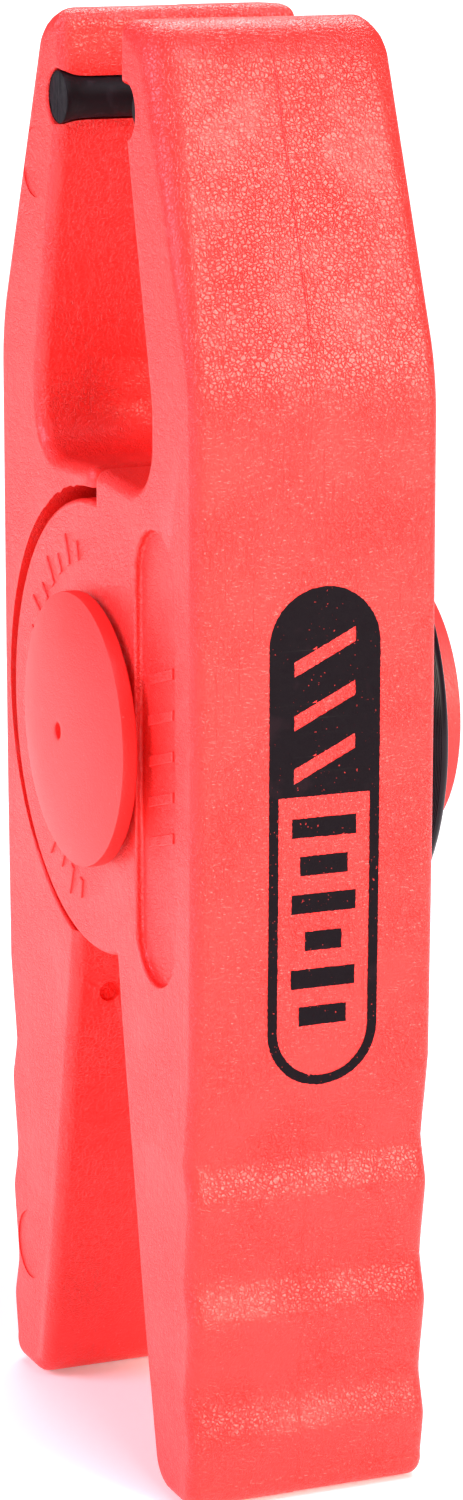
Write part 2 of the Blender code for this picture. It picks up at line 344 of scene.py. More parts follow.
def ridge(z):
    """How far the ridged grip stands out of its valleys at height z."""
    phase = (RIDGE_TOP_Z - z) / RIDGE_PITCH
    phase -= math.floor(phase)
    share = phase / RIDGE_RISE if phase < RIDGE_RISE else (1 - phase) / (1 - RIDGE_RISE)
    rounded = 0.5 - 0.5 * math.cos(math.pi * share)
    return RIDGE_DEPTH * (RIDGE_FLAT * share + (1 - RIDGE_FLAT) * rounded)


OUTER_LINE = [
    (RIDGE_VALLEY + 0.35, RIDGE_TOP_Z + 2.2),
    (RIDGE_VALLEY + 0.85, RIDGE_TOP_Z + 4.6),
    (OUTER_MID - 0.45, RIDGE_TOP_Z + 9.0),
    (OUTER_MID - 0.1, -12.0),
    (OUTER_MID, 4.0),
    (OUTER_MID, KNEE_Z - 4.0),
]


def outer_u(z):
    """Where the outer face stands at height z, between the ridges and the knee."""
    for (u0, z0), (u1, z1) in zip(OUTER_LINE, OUTER_LINE[1:]):
        if z <= z1:
            return u0 + (u1 - u0) * (z - z0) / (z1 - z0)
    return OUTER_MID


def arm_corners():
    """Side outline of an arm, running up the outer face."""
    made = [(OUTER_FOOT, FOOT_Z, FOOT_ROUND_OUT, 10)]
    grip_foot = RIDGE_TOP_Z - RIDGE_COUNT * RIDGE_PITCH + 3.5
    steps = round((RIDGE_TOP_Z - grip_foot) / RIDGE_PITCH * RIDGE_STEPS)
    for i in range(steps + 1):
        z = grip_foot + (RIDGE_TOP_Z - grip_foot) * i / steps
        made.append((RIDGE_VALLEY + ridge(z), z, 0, 0))
    made += [(u, z, 0, 0) for u, z in OUTER_LINE[:-1]]
    made += [
        (OUTER_MID, KNEE_Z, KNEE_ROUND, 14),
        (OUTER_TIP, TOP_Z, TIP_ROUND, 18),
        (JAW_FACE, TOP_Z, JAW_TOP_ROUND, 9),
        (JAW_FACE, JAW_LIP_Z, JAW_LIP_ROUND, 4),
        (JAW_AT_CORD, CORD_Z, 0, 0),
        (JAW_BELOW_CORD, JAW_BELOW_CORD_Z, 0, 0),
        (MOUTH_WALL, MOUTH_WALL_Z, MOUTH_WALL_ROUND, 10),
        (MOUTH_WALL, MOUTH_FLOOR_Z, MOUTH_ROUND, 20),
        (MEET_GAP, NOSE_Z, NOSE_ROUND, 10),
        (MEET_GAP, MEET_FOOT_Z, 0, 0),
        (HANDLE_IN_TOP, HANDLE_IN_TOP_Z, 0, 0),
        (HANDLE_IN_MID, HANDLE_IN_MID_Z, 0, 0),
        (HANDLE_IN_LOW, HANDLE_IN_LOW_Z, 0, 0),
        (HANDLE_IN_FOOT, FOOT_Z, FOOT_ROUND_IN, 14),
    ]
    return made


def inset(points, distances):
    """The outline moved into its material, each point by its own distance."""
    made = []
    count = len(points)
    for i, point in enumerate(points):
        here = Vector(point)
        along_in = (here - Vector(points[i - 1])).normalized()
        along_out = (Vector(points[(i + 1) % count]) - here).normalized()
        normal_in = Vector((-along_in.y, along_in.x))
        normal_out = Vector((-along_out.y, along_out.x))
        mean = (normal_in + normal_out).normalized()
        made.append(tuple(here + mean * (distances[i] / max(mean.dot(normal_out), 0.5))))
    return made


def loft(rings):
    """A closed solid through rings of equal length; each point is (x, u, z)."""
    bm = bmesh.new()
    rings = [[bm.verts.new((x, -u, z)) for x, u, z in ring] for ring in rings]
    count = len(rings[0])
    for low, high in zip(rings, rings[1:]):
        for i in range(count):
            j = (i + 1) % count
            bm.faces.new((low[i], low[j], high[j], high[i]))
    bm.faces.new(rings[0])
    bm.faces.new(reversed(rings[-1]))
    return bm


def flat_rings(sections):
    return [[(x, u, z) for u, z in points] for x, points in sections]


def edge_radius(u, z):
    """Radius of the side edge: larger at the outer corner of the jaw tip."""
    up = min(max((z - TIP_FILLET_FROM_Z) / (TOP_Z - 4.0 - TIP_FILLET_FROM_Z), 0.0), 1.0)
    out = min(max((u - JAW_FACE - 0.8) / 4.0, 0.0), 1.0)
    share = up * up * (3 - 2 * up) * out
    return SIDE_FILLET + (TIP_FILLET - SIDE_FILLET) * share


def seam_x(z):
    """The parting line leans away from the middle towards the foot and at the very tip."""
    low = max(0.0, (6.0 - z) / (6.0 - FOOT_Z))
    high = max(0.0, (z - 69.0) / (TOP_Z - 69.0))
    return -0.14 - 1.25 * low ** 1.4 - 1.4 * high


def flash_height(u, z):
    """A thin line of flash stands up along the parting line, most of all on the outer slope."""
    if u < OUTER_TIP - 3.0 or z > TOP_Z - 1.6 or z < FOOT_Z + 1.6:
        return 0.0
    slope = min(max((z - KNEE_Z + 2.0) / 5.0, 0.0), 1.0)
    grip = min(max((RIDGE_TOP_Z + 6.0 - z) / 5.0, 0.0), 1.0)
    wander = 0.75 + 0.5 * noise.noise(Vector((z * 0.9, u * 0.2, 2.0)))
    return wander * max(FLASH_SLOPE * slope, FLASH_GRIP * grip, FLASH_MID)


def arm_body():
    points = outline(arm_corners())
    radii = [edge_radius(u, z) for u, z in points]
    half = []
    for i in range(FILLET_STEPS + 1):
        angle = math.pi / 2 * i / FILLET_STEPS
        ring = inset(points, [r * (1 - math.sin(angle)) for r in radii])
        half.append([
            (-HALF_WIDTH + r * (1 - math.cos(angle)), u, z)
            for (u, z), r in zip(ring, radii)
        ])
    stepped = inset(points, [PARTING_STEP] * len(points))
    far = [
        [(-x, u, z) for x, u, z in ring]
        for ring in reversed(half)
    ]
    pinched = []
    for ring in far:
        pinched.append([
            (x, u + (su - pu), z + (sz - pz))
            for (x, u, z), (pu, pz), (su, sz) in zip(ring, points, stepped)
        ])
    flash = inset(points, [-flash_height(u, z) for u, z in points])
    seam = []
    for offset, level in (
        (-FLASH_HALF, points), (-FLASH_HALF * 0.3, flash), (FLASH_HALF * 0.3, flash),
        (FLASH_HALF, stepped),
    ):
        seam.append([
            (seam_x(z) + offset, u, z) for u, z in level
        ])
    return loft(half + seam + pinched)


def prism(points, x0, x1):
    return loft(flat_rings([(x0, points), (x1, points)]))


def circle(centre_u, centre_z, radius, steps):
    return [
        (
            centre_u + radius * math.cos(2 * math.pi * i / steps),
            centre_z + radius * math.sin(2 * math.pi * i / steps),
        )
        for i in range(steps)
    ]


def turned_solid(profile, steps):
    """A solid turned about the X axis from (x, radius) points; a radius of 0 is a point on the axis."""
    bm = bmesh.new()
    rings = []
    for x, radius in profile:
        if radius == 0:
            rings.append([bm.verts.new((x, 0.0, 0.0))])
            continue
        rings.append([
            bm.verts.new((
                x,
                radius * math.cos(2 * math.pi * i / steps),
                radius * math.sin(2 * math.pi * i / steps),
            ))
            for i in range(steps)
        ])
    pairs = list(zip(rings, rings[1:]))
    if len(rings[0]) != 1:
        pairs.append((rings[-1], rings[0]))
    for low, high in pairs:
        for i in range(steps):
            j = (i + 1) % steps
            if len(low) == 1:
                bm.faces.new((low[0], high[j], high[i]))
            elif len(high) == 1:
                bm.faces.new((low[i], low[j], high[0]))
            else:
                bm.faces.new((low[i], low[j], high[j], high[i]))
    return bm


def stadium(centre_u, centre_z, half_width, half_length, steps):
    """A slot outline with round ends, standing along Z."""
    straight = half_length - half_width
    made = []
    for end in (1, -1):
        for i in range(steps + 1):
            angle = math.pi * i / steps + (0 if end == 1 else math.pi)
            made.append((
                centre_u + half_width * math.cos(angle),
                centre_z + end * straight + half_width * math.sin(angle),
            ))
    return made


def lipped_pocket(shape, face_x, depth, floor_round):
    """A cutter that sinks into the -X face at face_x, with a rounded lip and a rounded floor edge.

    shape(grow) gives the pocket's outline, larger by grow."""
    steps = 5
    sections = [(face_x - CUT_PAST, shape(LIP))]
    for i in range(steps + 1):
        angle = math.pi / 2 * i / steps
        sections.append((
            face_x + LIP * (1 - math.cos(angle)), shape(LIP * (1 - math.sin(angle)))
        ))
    floor_x = face_x + depth
    for i in range(steps + 1):
        angle = math.pi / 2 * i / steps
        sections.append((
            floor_x - floor_round * (1 - math.sin(angle)),
            shape(-floor_round * (1 - math.cos(angle))),
        ))
    return loft(flat_rings(sections))


def ragged_circle(centre_u, centre_z, radius, steps, rough):
    """A circle whose top edge is torn a little, like flash that has broken away."""
    made = []
    for i in range(steps):
        angle = 2 * math.pi * i / steps
        near_top = max(0.0, 1 - abs(math.degrees(angle) - 72) / 26)
        wander = noise.noise(Vector((angle * 24, 3.1, 0.4))) + 0.6 * noise.noise(
            Vector((angle * 61, 7.7, 1.9))
        )
        r = radius - rough * near_top * max(wander + 0.15, 0.0)
        made.append((centre_u + r * math.cos(angle), centre_z + r * math.sin(angle)))
    return made


def raised(bm, points, foot_x, top_x, taper):
    """Adds a raised shape standing on the -X side, its top smaller by taper."""
    count = len(points)
    # Outlines here run anticlockwise in (u, z), so the material is on the left.
    sections = [
        (foot_x, points),
        (top_x + taper * 0.6, points),
        (top_x + taper * 0.15, inset(points, [taper * 0.4] * count)),
        (top_x, inset(points, [taper] * count)),
    ]
    piece = loft(flat_rings(sections))
    bmesh.ops.recalc_face_normals(piece, faces=piece.faces)
    mesh = bpy.data.meshes.new("raised")
    piece.to_mesh(mesh)
    piece.free()
    bm.from_mesh(mesh)
    bpy.data.meshes.remove(mesh)


def recess_bars(bm):
    floor_x = -HALF_WIDTH + BADGE_DEPTH
    for i in range(BAR_COUNT):
        z = BAR_TOP_Z - i * BAR_PITCH
        points = [
            (BADGE_CENTRE - BAR_HALF_WIDTH, z - BAR_SLANT),
            (BADGE_CENTRE + BAR_HALF_WIDTH, z + BAR_SLANT),
            (BADGE_CENTRE + BAR_HALF_WIDTH, z + BAR_SLANT + BAR_THICK),
            (BADGE_CENTRE - BAR_HALF_WIDTH, z - BAR_SLANT + BAR_THICK),
        ]
        raised(bm, points, floor_x + 0.1, floor_x - BAR_HEIGHT, RAISED_TAPER)


def boss_ticks(bm):
    """Raised ticks on the boss, round the rear side of the cap."""
    for low, high in TICK_SPANS:
        count = int((high - low) / TICK_STEP_DEG) + 1
        for i in range(count):
            angle = math.radians(180.0 - (low + i * TICK_STEP_DEG))
            along = Vector((math.cos(angle), math.sin(angle)))
            across = Vector((-along.y, along.x))
            far = TICK_LONG_R if i % 2 else TICK_SHORT_R
            points = [
                tuple(along * TICK_IN_R - across * TICK_HALF),
                tuple(along * far - across * TICK_HALF),
                tuple(along * far + across * TICK_HALF),
                tuple(along * TICK_IN_R + across * TICK_HALF),
            ]
            raised(bm, points, -HALF_WIDTH + 0.1, -HALF_WIDTH - TICK_HEIGHT, RAISED_TAPER)


def cord_seat_cutter():
    """A round groove right through the jaw, flaring out to both sides as the cord does."""
    past = HALF_WIDTH + 1.0
    steps = 5

    def seat(depth):
        return CORD_SEAT_R + CORD_SEAT_FLARE * math.exp(-(depth / CORD_FLARE_LENGTH) ** 2)

    sections = [(-past, circle(CORD_OUT, CORD_Z, seat(0.0) + LIP, 72))]
    for i in range(steps + 1):
        angle = math.pi / 2 * i / steps
        depth = LIP * (1 - math.cos(angle))
        sections.append((
            -HALF_WIDTH + depth,
            circle(CORD_OUT, CORD_Z, seat(depth) + LIP * (1 - math.sin(angle)), 72),
        ))
    for i in range(1, 9):
        depth = LIP + (2.2 * CORD_FLARE_LENGTH - LIP) * i / 8
        sections.append((-HALF_WIDTH + depth, circle(CORD_OUT, CORD_Z, seat(depth), 72)))
    mirrored = [(-x, points) for x, points in reversed(sections)]
    return loft(flat_rings(sections + mirrored))


def lap_cutter():
    """Clears the other arm's boss out of the +X half."""
    past = HALF_WIDTH + CUT_PAST
    steps = 4
    sections = [(-LAP_GAP, circle(0, 0, LAP_R, 192))]
    for i in range(steps + 1):
        angle = math.pi / 2 * i / steps
        sections.append((
            HALF_WIDTH - LIP * (1 - math.sin(angle)),
            circle(0, 0, LAP_R + LIP * (1 - math.cos(angle)), 192),
        ))
    sections.append((past, circle(0, 0, LAP_R + LIP, 192)))
    return loft(flat_rings(sections))


def relief_cutter():
    """Widens the gap round that boss, with a torn edge at the +X face."""
    past = HALF_WIDTH + CUT_PAST
    rough = ragged_circle(LAP_RELIEF_OUT, LAP_RELIEF_UP, LAP_RELIEF_R, 360, 0.45)
    smooth = circle(LAP_RELIEF_OUT, LAP_RELIEF_UP, LAP_RELIEF_R, 360)
    return loft(flat_rings([
        (-LAP_GAP + 0.02, smooth),
        (HALF_WIDTH - 1.2, smooth),
        (HALF_WIDTH - 0.35, rough),
        (past, rough),
    ]))


def boss_solid():
    """The round boss that fills the -X half round the pivot."""
    steps = 6
    sections = []
    for i in range(steps + 1):
        angle = math.pi / 2 * i / steps
        radius = BOSS_R - BOSS_EDGE * (1 - math.sin(angle))
        sections.append((-HALF_WIDTH + BOSS_EDGE * (1 - math.cos(angle)), circle(0, 0, radius, 192)))
    sections.append((-LAP_GAP, circle(0, 0, BOSS_R, 192)))
    return loft(flat_rings(sections))


def gate_cutter():
    """A small round hole where the plastic was fed in, sunk into the handle's inner face."""
    profile = [
        (5.0, 0),
        (5.0, GATE_R + 0.3),
        (6.65, GATE_R + 0.12),
        (6.8, GATE_R),
        (7.6, GATE_R - 0.2),
        (7.6, 0),
    ]
    bm = turned_solid(profile, 28)
    bmesh.ops.rotate(bm, cent=(0, 0, 0), matrix=Matrix.Rotation(-math.pi / 2, 3, "Z"), verts=bm.verts)
    bmesh.ops.translate(bm, vec=(GATE_X, 0.0, GATE_Z), verts=bm.verts)
    return bm


def ejector_cutter(spot):
    u, z, radius = spot
    return loft(flat_rings([
        (HALF_WIDTH - EJECTOR_DEPTH, circle(u, z, radius - 0.06, 56)),
        (HALF_WIDTH + 0.5, circle(u, z, radius, 56)),
    ]))


def arm_solid(name):
    """The moulding that both arms share."""
    arm = add_object(name, arm_body())
    combine(arm, add_object("boss", boss_solid()), "UNION")
    past = HALF_WIDTH + CUT_PAST

    def badge(grow):
        return stadium(
            BADGE_CENTRE, 0.0, BADGE_HALF_WIDTH + grow, BADGE_HALF_LENGTH + grow, 28
        )

    cuts = [
        lap_cutter(),
        relief_cutter(),
        prism(circle(0, 0, CUP_R, 96), CUP_FLOOR_X, LAP_GAP + 0.35),
        prism(circle(0, 0, PIN_HOLE_R, 72), -past, CUP_FLOOR_X + 1.0),
        prism(
            [
                (COIL_R - SLOT_HALF, SLOT_FOOT_Z),
                (COIL_R + SLOT_HALF, SLOT_FOOT_Z),
                (COIL_R + SLOT_HALF, SLOT_TOP_Z),
                (COIL_R - SLOT_HALF, SLOT_TOP_Z),
            ],
            -COIL_HALF - SLOT_HALF,
            LAP_GAP + 0.4,
        ),
        cord_seat_cutter(),
        lipped_pocket(badge, -HALF_WIDTH, BADGE_DEPTH, 0.35),
        ejector_cutter(EJECTOR_UPPER),
        ejector_cutter(EJECTOR_LOWER),
        gate_cutter(),
    ]
    for bm in cuts:
        combine(arm, add_object("cut", bm), "DIFFERENCE")
    return arm


def with_raised(obj, *makers):
    bm = bmesh.new()
    bm.from_mesh(obj.data)
    for maker in makers:
        maker(bm)
    bm.to_mesh(obj.data)
    bm.free()


def build_arms(finish):
    front = arm_solid("front_arm_moulding")
    rear = link(bpy.data.objects.new("rear_arm_moulding", front.data.copy()))
    with_raised(front, recess_bars, boss_ticks)
    with_raised(rear, recess_bars)
    settle(front, finish)
    settle(rear, finish, turned=True)
    return front, rear


def cord_solid():
    """Round rubber cord: sunk in at its -X end, flush and spread a little at its +X end."""
    steps = 96
    edge = 0.16
    profile = [(CORD_INSIDE_X, 0.0), (CORD_INSIDE_X, CORD_R * 0.6)]
    for i in range(5):
        angle = math.pi / 2 * i / 4
        profile.append((
            CORD_INSIDE_X + edge * (1 - math.cos(angle)), CORD_R - edge * (1 - math.sin(angle))
        ))
    rows = 34
    for i in range(1, rows):
        x = CORD_INSIDE_X + edge + (CORD_FLUSH_X - 2 * edge - CORD_INSIDE_X) * (i / rows) ** 0.75
        spread = CORD_FLARE * math.exp(-((CORD_FLUSH_X - x) / CORD_FLARE_LENGTH) ** 2)
        profile.append((x, CORD_R + spread))
    for i in range(6):
        angle = math.pi / 2 * (1 - i / 5)
        profile.append((
            CORD_FLUSH_X - edge * (1 - math.cos(angle)),
            CORD_R + CORD_FLARE - edge * (1 - math.sin(angle)),
        ))
    for share in (0.88, 0.75, 0.6, 0.45, 0.3, 0.15, 0.0):
        profile.append((CORD_FLUSH_X, CORD_R * share))
    bm = turned_solid(profile, steps)
    for v in bm.verts:
        away = Vector((0.0, v.co.y, v.co.z))
        if v.co.x > CORD_FLUSH_X - 0.02:
            torn = noise.noise(Vector((v.co.y * 3.4, v.co.z * 0.5, 8.0)))
            v.co.x -= 0.09 * (1 + torn)
        elif away.length > CORD_R * 0.9:
            wander = noise.noise(Vector((v.co.x * 0.5, v.co.y * 0.7, v.co.z * 0.7 + 4)))
            v.co -= away.normalized() * (0.03 + 0.03 * wander)
    bmesh.ops.translate(bm, vec=(0.0, -CORD_OUT, CORD_Z), verts=bm.verts)
    return bm


def cap_solid(side, foot_x, rim, height):
    """A domed cap on the -X (side -1) or +X (side 1) end of the axle, with its spigot in the bore."""
    profile = [
        (foot_x - CAP_SPIGOT_LENGTH, 0),
        (foot_x - CAP_SPIGOT_LENGTH, CAP_SPIGOT_R - 0.3),
        (foot_x - CAP_SPIGOT_LENGTH + 0.5, CAP_SPIGOT_R),
        (foot_x, CAP_SPIGOT_R),
        (foot_x, CAP_R - 0.22),
        (foot_x + 0.08, CAP_R - 0.07),
        (foot_x + 0.22, CAP_R),
        (foot_x + rim * 0.8, CAP_R),
    ]
    dome = height - rim
    steps = 36
    lip = 0.22
    for i in range(1, steps + 1):
        share = (i / steps) ** 1.5
        radius = CAP_R * (1 - share) + (CAP_DIMPLE_R + lip) * share
        profile.append((foot_x + rim + dome * (1 - (radius / CAP_R) ** 2.4), radius))
    top = foot_x + height
    profile += [
        (top - 0.03, CAP_DIMPLE_R + 0.1),
        (top - 0.1, CAP_DIMPLE_R),
        (top - CAP_DIMPLE_DEPTH, CAP_DIMPLE_R - 0.12),
        (top - CAP_DIMPLE_DEPTH - 0.15, 0),
    ]
    return turned_solid([(side * x, r) for x, r in profile], 144)


def tube_solid(x0, x1, r_in, r_out, edge, steps):
    arc = 5
    profile = [(x0, r_in)]
    for i in range(arc + 1):
        angle = math.pi / 2 * i / arc
        profile.append((x0 + edge * (1 - math.cos(angle)), r_out - edge * (1 - math.sin(angle))))
    for i in range(arc + 1):
        angle = math.pi / 2 * (1 - i / arc)
        profile.append((x1 - edge * (1 - math.cos(angle)), r_out - edge * (1 - math.sin(angle))))
    profile.append((x1, r_in))
    return turned_solid(profile, steps)


def collar_solid():
    """The collar ring, with fine turned grooves round its rim."""
    arc = 7
    edge = COLLAR_CHAMFER
    inner_edge = 0.35
    profile = [(COLLAR_IN_X, COLLAR_HOLE_R)]
    for i in range(arc + 1):
        angle = math.pi / 2 * i / arc
        profile.append((
            COLLAR_IN_X + inner_edge * (1 - math.cos(angle)),
            COLLAR_R - inner_edge * (1 - math.sin(angle)),
        ))
    start = COLLAR_IN_X + inner_edge
    span = COLLAR_OUT_X - edge - start
    for i in range(COLLAR_GROOVES):
        base = start + span * (i + 0.5) / COLLAR_GROOVES
        quarter = span / COLLAR_GROOVES / 4
        profile += [
            (base - quarter, COLLAR_R),
            (base, COLLAR_R - COLLAR_GROOVE),
            (base + quarter, COLLAR_R),
        ]
    for i in range(arc + 1):
        angle = math.pi / 2 * (1 - i / arc)
        profile.append((
            COLLAR_OUT_X - edge * (1 - math.cos(angle)),
            COLLAR_R - edge * (1 - math.sin(angle)),
        ))
    profile += [(COLLAR_OUT_X, CAP_R + 1.6), (COLLAR_OUT_X - 0.2, CAP_R + 1.2)]
    profile += [(COLLAR_OUT_X - 0.2, COLLAR_HOLE_R)]
    return turned_solid(profile, 192)


def spring_path():
    """Centre line of the wire: up one leg, round the coil, and down the other leg."""
    path = [Vector((-COIL_HALF, -COIL_R, LEG_FOOT_Z * (1 - i / 8))) for i in range(8)]
    steps = round(COIL_TURNS * COIL_STEPS)
    for i in range(steps + 1):
        share = i / steps
        angle = math.pi - 2 * math.pi * COIL_TURNS * share
        path.append(Vector((
            COIL_HALF * (2 * share - 1), COIL_R * math.cos(angle), COIL_R * math.sin(angle)
        )))
    path += [Vector((COIL_HALF, COIL_R, LEG_FOOT_Z * i / 8)) for i in range(1, 9)]
    return path


def spring_solid():
    path = spring_path()
    bm = bmesh.new()
    sides = 20
    axis = Vector((1.0, 0.0, 0.0))
    rings = []
    for i, point in enumerate(path):
        along = (path[min(i + 1, len(path) - 1)] - path[max(i - 1, 0)]).normalized()
        across = (axis - along * axis.dot(along)).normalized()
        out = along.cross(across)
        rings.append([
            bm.verts.new(
                point
                + across * (WIRE_R * math.cos(2 * math.pi * k / sides))
                + out * (WIRE_R * math.sin(2 * math.pi * k / sides))
            )
            for k in range(sides)
        ])
    for low, high in zip(rings, rings[1:]):
        for k in range(sides):
            n = (k + 1) % sides
            bm.faces.new((low[k], low[n], high[n], high[k]))
    bm.faces.new(rings[0])
    bm.faces.new(reversed(rings[-1]))
    return bm


# ---------------------------------------------------------------- printed panel

def ragged_loop(points, spacing, amount, seed):
    """A closed loop resampled evenly, its line wandering a little as printed ink does."""
    made = []
    for i, point in enumerate(points):
        here = Vector(point)
        there = Vector(points[(i + 1) % len(points)])
        pieces = max(1, round((there - here).length / spacing))
        for k in range(pieces):
            p = here.lerp(there, k / pieces)
            wander = Vector((
                noise.noise(Vector((p.x * 5.3, p.y * 5.3, seed))),
                noise.noise(Vector((p.x * 5.3, p.y * 5.3, seed + 9.0))),
            ))
            made.append(tuple(p + wander * amount))
    return made


def bar(x0, x1, z, rise, thick):
    """A plain slanted bar between x0 and x1, centred at height z."""
    return [
        (x0, z - rise - thick / 2),
        (x1, z + rise - thick / 2),
        (x1, z + rise + thick / 2),
        (x0, z - rise + thick / 2),
    ]


def half_stadium_low(half_width, foot, top):
    """Outline of the panel's lower window: square at the top, round at the foot."""
    made = [(half_width, top), (-half_width, top)]
    steps = 24
    for i in range(steps + 1):
        angle = math.pi + math.pi * i / steps
        made.append((half_width * math.cos(angle), foot + half_width + half_width * math.sin(angle)))
    return made


def print_loops():
    """The panel's outline, then the windows and bars inside it, in (x, z) about its centre."""
    loops = [stadium(0.0, 0.0, PRINT_HALF_WIDTH, PRINT_HALF_LENGTH, 40)]
    top = PRINT_HALF_LENGTH
    split = PRINT_SPLIT_Z - PRINT_Z
    for k in range(SLANT_COUNT):
        z = top - SLANT_DROP - k * SLANT_PITCH
        loops.append(bar(-SLANT_REACH, SLANT_REACH, z, SLANT_RISE, SLANT_THICK))
    inner = PRINT_HALF_WIDTH - PRINT_LINE
    loops.append(half_stadium_low(inner, -PRINT_HALF_LENGTH + PRINT_LINE, split))
    for k, half in enumerate(LEVEL_REACHES):
        loops.append(bar(-half, half, split - LEVEL_DROP - k * LEVEL_PITCH, 0.0, LEVEL_THICK))
    return loops


def build_print(finish):
    """Dark ink on the outer face of the front arm: plain bars in a round-ended panel."""
    curve = bpy.data.curves.new("print", "CURVE")
    curve.dimensions = "2D"
    curve.fill_mode = "BOTH"
    for index, points in enumerate(print_loops()):
        loop = ragged_loop(points, PRINT_GRAIN, PRINT_WANDER, 2.0 + index)
        spline = curve.splines.new("POLY")
        spline.points.add(len(loop) - 1)
        for p, (x, z) in zip(spline.points, loop):
            p.co = (x, z, 0.0, 1.0)
        spline.use_cyclic_u = True
    flat = link(bpy.data.objects.new("print_flat", curve))
    graph = bpy.context.evaluated_depsgraph_get()
    mesh = bpy.data.meshes.new_from_object(flat.evaluated_get(graph))
    bpy.data.objects.remove(flat, do_unlink=True)
    bm = bmesh.new()
    bm.from_mesh(mesh)
    bpy.data.meshes.remove(mesh)
    for _, z in OUTER_LINE:
        bmesh.ops.bisect_plane(
            bm,
            geom=bm.verts[:] + bm.edges[:] + bm.faces[:],
            plane_co=(0.0, z - PRINT_Z, 0.0),
            plane_no=(0.0, 1.0, 0.0),
        )
    for v in bm.verts:
        x, z = v.co.x + PRINT_X, v.co.y + PRINT_Z
        drop = PARTING_STEP if x > seam_x(z) else 0.0
        v.co = Vector((x, -(outer_u(z) + PRINT_LIFT - drop * 0.5), z))
    bmesh.ops.recalc_face_normals(bm, faces=bm.faces)
    facing = sum(f.normal.y * f.calc_area() for f in bm.faces)
    if facing > 0:
        bmesh.ops.reverse_faces(bm, faces=bm.faces)
    panel = link(bpy.data.objects.new("front_arm_print", bpy.data.meshes.new("front_arm_print")))
    bm.to_mesh(panel.data)
    bm.free()
    panel.data.transform(Matrix.Scale(MM, 4))
    panel.data.materials.append(finish)
    panel.location = PIVOT
    return panel


# ---------------------------------------------------------------- materials

class Nodes:
    """Short ways to add nodes to one material."""

    def __init__(self, name):
        self.material = bpy.data.materials.new(name)
        self.material.use_nodes = True
        self.tree = self.material.node_tree
        self.shader = self.tree.nodes["Principled BSDF"]
        self.place = self.tree.nodes.new("ShaderNodeTexCoord").outputs["Object"]

    def add(self, kind, inputs=None, **settings):
        made = self.tree.nodes.new(kind)
        for key, value in settings.items():
            setattr(made, key, value)
        for key, value in (inputs or {}).items():
            if isinstance(value, bpy.types.NodeSocket):
                self.tree.links.new(value, made.inputs[key])
            else:
                made.inputs[key].default_value = value
        return made

    def noise(self, scale, detail=2.0, stretch=None, rough=0.5):
        place = self.place
        if stretch:
            place = self.add("ShaderNodeMapping", {"Vector": place, "Scale": stretch}).outputs[0]
        made = self.add(
            "ShaderNodeTexNoise",
            {"Vector": place, "Scale": scale, "Detail": detail, "Roughness": rough},
        )
        return made.outputs["Fac"]

    def span(self, value, low, high, to_low=0.0, to_high=1.0):
        made = self.add(
            "ShaderNodeMapRange",
            {"Value": value, "From Min": low, "From Max": high, "To Min": to_low, "To Max": to_high},
        )
        return made.outputs["Result"]

    def sum(self, a, b, operation="ADD"):
        made = self.add("ShaderNodeMath", {0: a, 1: b}, operation=operation)
        return made.outputs[0]

    def mix(self, share, a, b):
        made = self.add("ShaderNodeMix", data_type="RGBA")
        for socket, value in ((made.inputs[0], share), (made.inputs[6], a), (made.inputs[7], b)):
            if isinstance(value, bpy.types.NodeSocket):
                self.tree.links.new(value, socket)
            else:
                socket.default_value = value if isinstance(value, float) else (*value, 1.0)
        return made.outputs[2]

    def edges(self, low, high):
        """1 on sharp outer edges, the mask for a painted highlight."""
        bend = self.add("ShaderNodeNewGeometry").outputs["Pointiness"]
        return self.span(bend, low, high)

    def bump(self, height, distance, strength=1.0):
        made = self.add(
            "ShaderNodeBump", {"Height": height, "Distance": distance, "Strength": strength}
        )
        self.tree.links.new(made.outputs["Normal"], self.shader.inputs["Normal"])

    def put(self, socket, value):
        if isinstance(value, bpy.types.NodeSocket):
            self.tree.links.new(value, self.shader.inputs[socket])
        else:
            self.shader.inputs[socket].default_value = value


